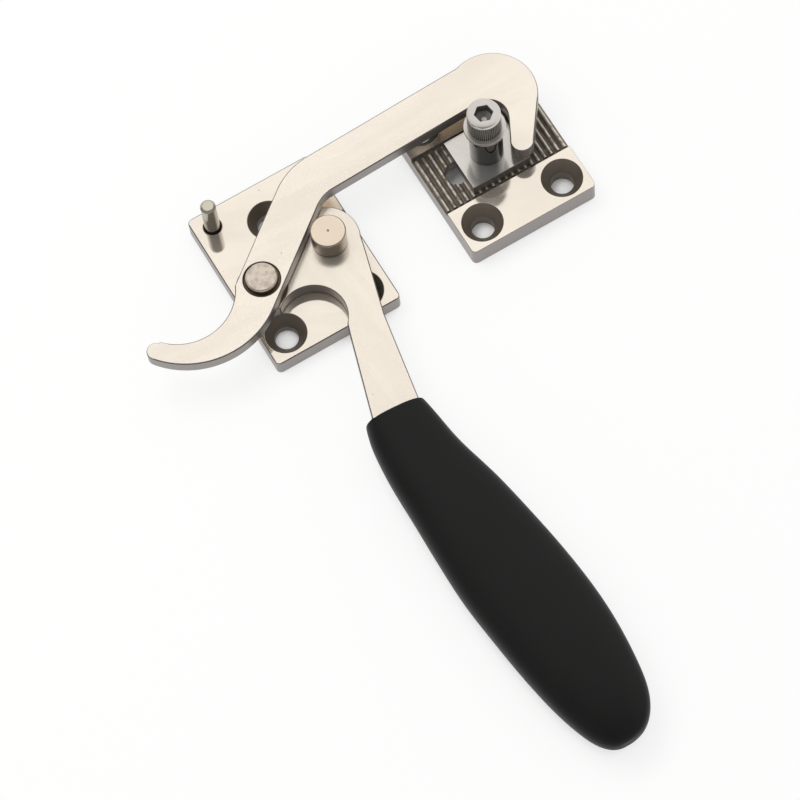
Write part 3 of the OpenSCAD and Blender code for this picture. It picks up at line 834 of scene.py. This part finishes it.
class HANDLELOCK_OT_screw(bpy.types.Operator):
    """Turn and knurl the striker's socket head screw"""

    bl_idname = "handlelock.screw"
    bl_label = "Screw"

    def execute(self, context):
        sizes = context.scene.handlelock_sizes
        low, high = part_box("striker_bolt")
        axis = middle("striker_bolt")
        foot, crown = low[2], high[2]
        radius = (high[0] - low[0]) / 2
        seat = top("striker_washer")
        shank = 4.0 * MM
        count = sizes.knurl_count
        depth = sizes.knurl_depth

        def spot(r, a, z):
            """A point round the screw's axis."""
            return Vector((axis.x + r * math.cos(a), axis.y + r * math.sin(a), z))

        def disc(r, z):
            """A plain round ring."""
            return lambda a: spot(r, a, z)

        def knurl(r, z):
            """A ring with upright ridges."""
            return lambda a: spot(r - depth * (0.5 - 0.5 * math.cos(a * count)), a, z)

        def hexagon(r, z):
            """A six-sided ring, r being half its width across the flats."""
            sixth = math.pi / 3
            return lambda a: spot(
                r / math.cos(((a + SOCKET_TURN) % sixth) - sixth / 2), a, z)

        # Shank, knurled head, chamfers, socket and the drill's cone under it
        places = [
            disc(shank - 0.6 * MM, foot), disc(shank, foot + 0.6 * MM), disc(shank, seat),
            disc(radius - 0.35 * MM, seat), knurl(radius, seat + 0.35 * MM),
            knurl(radius, crown - 1.9 * MM), disc(radius - 0.06 * MM, crown - 1.5 * MM),
            disc(radius - 0.06 * MM, crown - 0.6 * MM),
            disc(radius - 0.28 * MM, crown - 0.16 * MM),
            disc(radius - 0.7 * MM, crown), disc(SOCKET_HALF * 1.22, crown),
            hexagon(SOCKET_HALF + 0.08 * MM, crown), hexagon(SOCKET_HALF, crown - 0.12 * MM),
            hexagon(SOCKET_HALF, crown - SOCKET_DEPTH),
            disc(SOCKET_HALF * 0.8, crown - SOCKET_DEPTH - 0.1 * MM),
            disc(SOCKET_HALF * 0.3, crown - SOCKET_DEPTH - 1.0 * MM),
            disc(SOCKET_HALF * 0.26, crown - SOCKET_DEPTH - 1.05 * MM)]
        bm = stack_rings(places, count * 4)
        shade_by_angle(bm, math.radians(28))
        finished_object("knurled_screw", bm, ready("Screw steel"),
                        "base", ["striker_bolt"])
        return {"FINISHED"}


class HANDLELOCK_OT_stage(bpy.types.Operator):
    """Lay the floor, hang the lights and place the camera"""

    bl_idname = "handlelock.stage"
    bl_label = "Stage"

    def execute(self, context):
        stage = context.scene.handlelock_stage
        self.floor(stage)
        direction = self.camera(context, stage)
        self.sky(context, stage, direction)
        self.lamp(stage)
        context.scene.view_settings.view_transform = "Standard"
        return {"FINISHED"}

    def floor(self, stage):
        """A pale table top that reads as white and keeps the lock's shadow."""
        bm = bmesh.new()
        bmesh.ops.create_grid(bm, x_segments=1, y_segments=1, size=4.0)
        bmesh.ops.translate(bm, verts=bm.verts, vec=(0.0, 0.0, -0.2 * MM))
        mesh = bpy.data.meshes.new("table_top")
        bm.to_mesh(mesh)
        bm.free()
        obj = bpy.data.objects.new("table_top", mesh)
        bpy.context.scene.collection.objects.link(obj)
        material = bpy.data.materials.new("Table top")
        material.use_nodes = True
        tree = material.node_tree
        tree.nodes.clear()
        out = tree.nodes.new("ShaderNodeOutputMaterial")
        lit = node_of(tree, "ShaderNodeBsdfDiffuse")
        lit.inputs["Color"].default_value = (*stage.floor, 1.0)
        place = tree.nodes.new("ShaderNodeTexCoord")
        paper = noise(tree, place.outputs["Object"], "paper", Scale=900.0, Detail=2.0)
        relief = node_of(tree, "ShaderNodeBump", "paper", Strength=0.05, Distance=0.05 * MM)
        tree.links.new(paper, relief.inputs["Height"])
        tree.links.new(relief.outputs["Normal"], lit.inputs["Normal"])
        white = node_of(tree, "ShaderNodeEmission", "white table", Strength=1.0)
        path = tree.nodes.new("ShaderNodeLightPath")
        seen = larger(tree, path.outputs["Is Camera Ray"],
                      larger(tree, path.outputs["Is Glossy Ray"],
                             path.outputs["Is Transmission Ray"]))
        hidden = node_of(tree, "ShaderNodeAmbientOcclusion", "hidden in holes", samples=8)
        hidden.inputs["Distance"].default_value = 12.0 * MM
        open_part = ramp(tree, hidden.outputs["AO"], 0.2, 0.6)
        share = product(tree, product(tree, seen, 0.8), open_part)
        tree.links.new(mix_shaders(tree, share, lit.outputs[0], white.outputs[0]),
                       out.inputs["Surface"])
        mesh.materials.append(material)

    def camera(self, context, stage):
        """The camera at the photograph's angle; returns the direction towards it."""
        turn = (Matrix.Rotation(stage.roll, 3, "Z") @ Matrix.Rotation(-stage.tilt, 3, "X")
                @ Matrix.Rotation(stage.azimuth, 3, "Z"))
        facing = turn.transposed()
        place = facing @ Vector((-stage.pan[0], -stage.pan[1], stage.distance)) + Vector(stage.aim)
        data = bpy.data.cameras.new("Studio camera")
        data.sensor_width = 36.0
        data.lens = stage.lens
        data.clip_end = 20.0
        obj = bpy.data.objects.new("Studio camera", data)
        obj.matrix_world = Matrix.Translation(place) @ facing.to_4x4()
        context.scene.collection.objects.link(obj)
        context.scene.camera = obj
        return facing @ Vector((0.0, 0.0, 1.0))

    def sky(self, context, stage, direction):
        """Even light, a bright panel and a dark side for reflections, and a white backdrop."""
        world = bpy.data.worlds.new("Studio")
        world.use_nodes = True
        context.scene.world = world
        tree = world.node_tree
        tree.nodes.clear()
        out = tree.nodes.new("ShaderNodeOutputWorld")
        ray = tree.nodes.new("ShaderNodeTexCoord").outputs["Generated"]

        def nearness(label, axis):
            """How far a ray points along the axis."""
            node = node_of(tree, "ShaderNodeVectorMath", label, operation="DOT_PRODUCT")
            node.inputs[1].default_value = axis
            tree.links.new(ray, node.inputs[0])
            return node.outputs["Value"]

        def background(label, colour, strength):
            """A Background node of one colour."""
            node = node_of(tree, "ShaderNodeBackground", label, Strength=strength)
            node.inputs["Color"].default_value = (*colour, 1.0)
            return node

        # The panel stands opposite the camera and a little to the side
        opposite = Vector((-direction.x + 0.35, -direction.y, direction.z)).normalized()
        panel = ramp(tree, nearness("towards the bright panel", opposite), 0.42, 0.86)
        cloud = noise(tree, ray, "uneven panel", Scale=7.0, Detail=1.0)
        panel = product(tree, panel, ramp(tree, cloud, 0.3, 0.6, 0.93, 1.0))
        seen = mix_colour(tree, panel, (0.46, 0.45, 0.44), (1.0, 0.985, 0.96))
        dark = ramp(tree, nearness("towards the dark side", direction), 0.80, 0.93)
        seen = mix_colour(tree, dark, seen, (0.14, 0.137, 0.135))
        mirror = node_of(tree, "ShaderNodeBackground", "seen in the metal", Strength=1.0)
        tree.links.new(seen, mirror.inputs["Color"])
        even = background("even light", (1.0, 0.995, 0.985), stage.fill)
        backdrop = background("white backdrop", (1.0, 1.0, 1.0), 1.0)
        path = tree.nodes.new("ShaderNodeLightPath")
        light = mix_shaders(tree, path.outputs["Is Glossy Ray"], even.outputs[0],
                            mirror.outputs[0])
        light = mix_shaders(tree, path.outputs["Is Camera Ray"], light, backdrop.outputs[0])
        tree.links.new(light, out.inputs["Surface"])

    def lamp(self, stage):
        """A large lamp above and behind the lock, unseen in its reflections."""
        data = bpy.data.lights.new("Softbox", "AREA")
        data.shape = "RECTANGLE"
        data.size = 1.0
        data.size_y = 0.7
        data.energy = stage.softbox
        data.color = (1.0, 0.99, 0.97)
        obj = bpy.data.objects.new("Softbox", data)
        place = Vector((-0.25, 0.55, 1.3))
        obj.matrix_world = (Matrix.Translation(place)
                            @ (-place).to_track_quat("-Z", "Y").to_matrix().to_4x4())
        obj.visible_glossy = False
        bpy.context.scene.collection.objects.link(obj)


class HANDLELOCK_PT_panel(bpy.types.Panel):
    """Sizes, colours and pieces of the handle lock"""

    bl_idname = "HANDLELOCK_PT_panel"
    bl_label = "Handle lock"
    bl_space_type = "VIEW_3D"
    bl_region_type = "UI"
    bl_category = "Handle lock"

    def draw(self, context):
        layout = self.layout
        scene = context.scene
        for title, group in (("Sizes", scene.handlelock_sizes),
                             ("Colours", scene.handlelock_finish),
                             ("Stage", scene.handlelock_stage)):
            box = layout.box()
            box.label(text=title)
            for key in type(group).__annotations__:
                box.prop(group, key)
        for operator in STEPS:
            layout.operator(operator.bl_idname)


STEPS = (
    HANDLELOCK_OT_finishes,
    HANDLELOCK_OT_plates,
    HANDLELOCK_OT_bars,
    HANDLELOCK_OT_pins,
    HANDLELOCK_OT_grip,
    HANDLELOCK_OT_striker,
    HANDLELOCK_OT_screw,
    HANDLELOCK_OT_stage,
)
GROUPS = (HandleLockSizes, HandleLockFinish, HandleLockStage)


def register():
    for cls in GROUPS + STEPS + (HANDLELOCK_PT_panel,):
        bpy.utils.register_class(cls)
    bpy.types.Scene.handlelock_sizes = PointerProperty(type=HandleLockSizes)
    bpy.types.Scene.handlelock_finish = PointerProperty(type=HandleLockFinish)
    bpy.types.Scene.handlelock_stage = PointerProperty(type=HandleLockStage)


def unregister():
    del bpy.types.Scene.handlelock_stage
    del bpy.types.Scene.handlelock_finish
    del bpy.types.Scene.handlelock_sizes
    for cls in reversed(GROUPS + STEPS + (HANDLELOCK_PT_panel,)):
        bpy.utils.unregister_class(cls)


def main():
    register()
    bpy.ops.handlelock.finishes()
    bpy.ops.handlelock.plates()
    bpy.ops.handlelock.bars()
    bpy.ops.handlelock.pins()
    bpy.ops.handlelock.grip()
    bpy.ops.handlelock.striker()
    bpy.ops.handlelock.screw()
    bpy.ops.handlelock.stage()
    bpy.context.view_layer.update()


if __name__ == "__main__":
    main()
